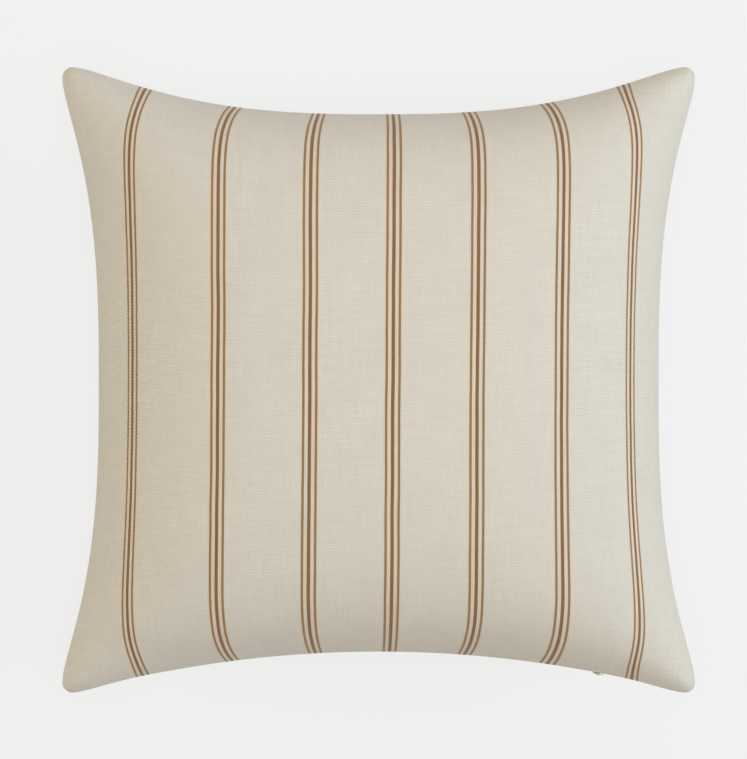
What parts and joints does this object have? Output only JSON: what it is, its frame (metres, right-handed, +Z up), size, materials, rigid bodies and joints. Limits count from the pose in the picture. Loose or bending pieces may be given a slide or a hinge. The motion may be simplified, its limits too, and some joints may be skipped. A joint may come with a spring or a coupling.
{
  "type": "throw pillow",
  "caption": "Square throw pillow: striped woven cover, pulled in along its sides to pointed corners, with a concealed zip in its bottom seam over a filled insert.",
  "frame": {"origin": "under the middle of the pillow's outline, on the flat patch of the back panel that it rests on", "axes": "+Z up out of the front panel, +Y towards the top of the cover, so the stripes run along Y and the zip is in the -Y seam"},
  "size_m": [0.4786, 0.4752, 0.1948],
  "materials": {
    "cover_cloth": "matte",
    "sewing_thread": "matte",
    "zip_tape": "matte",
    "zip_coil": "satin",
    "zip_metal": "satin",
    "label_cloth": "satin",
    "ticking": "matte",
    "filling": "matte"
  },
  "bodies": {
    "pillow": {"cover_front": "cover_cloth", "cover_back": "cover_cloth", "cover_seam_thread": "sewing_thread", "cover_overlock_thread": "sewing_thread", "care_label": "label_cloth", "zipper_tape_front": "zip_tape", "zipper_tape_back": "zip_tape", "zipper_stitch_front": "sewing_thread", "zipper_stitch_back": "sewing_thread", "zipper_coil_front": "zip_coil", "zipper_coil_back": "zip_coil", "zipper_top_stop_front": "zip_metal", "zipper_top_stop_back": "zip_metal", "zipper_bottom_stop": "zip_metal", "insert_front": "ticking", "insert_back": "ticking", "insert_seam_thread": "ticking", "insert_closing_stitch": "ticking", "insert_label": "label_cloth", "fill_core": "filling"},
    "slider": {"zipper_slider": "zip_metal"},
    "pull": {"zipper_pull_tab": "zip_metal"}
  },
  "joints": [
    {"name": "slider_travel", "type": "hinge", "parent": "pillow", "child": "slider", "pos_m": [0, -1.07557, 0.0949], "axis": [0, 0, 1], "range_deg": [0, 21.9]},
    {"name": "pull_swing", "type": "hinge", "parent": "slider", "child": "pull", "pos_m": [0.16573, -0.22261, 0.0949], "axis": [-0.9816, 0.1907, 0], "range_deg": [0, 170]}
  ]
}
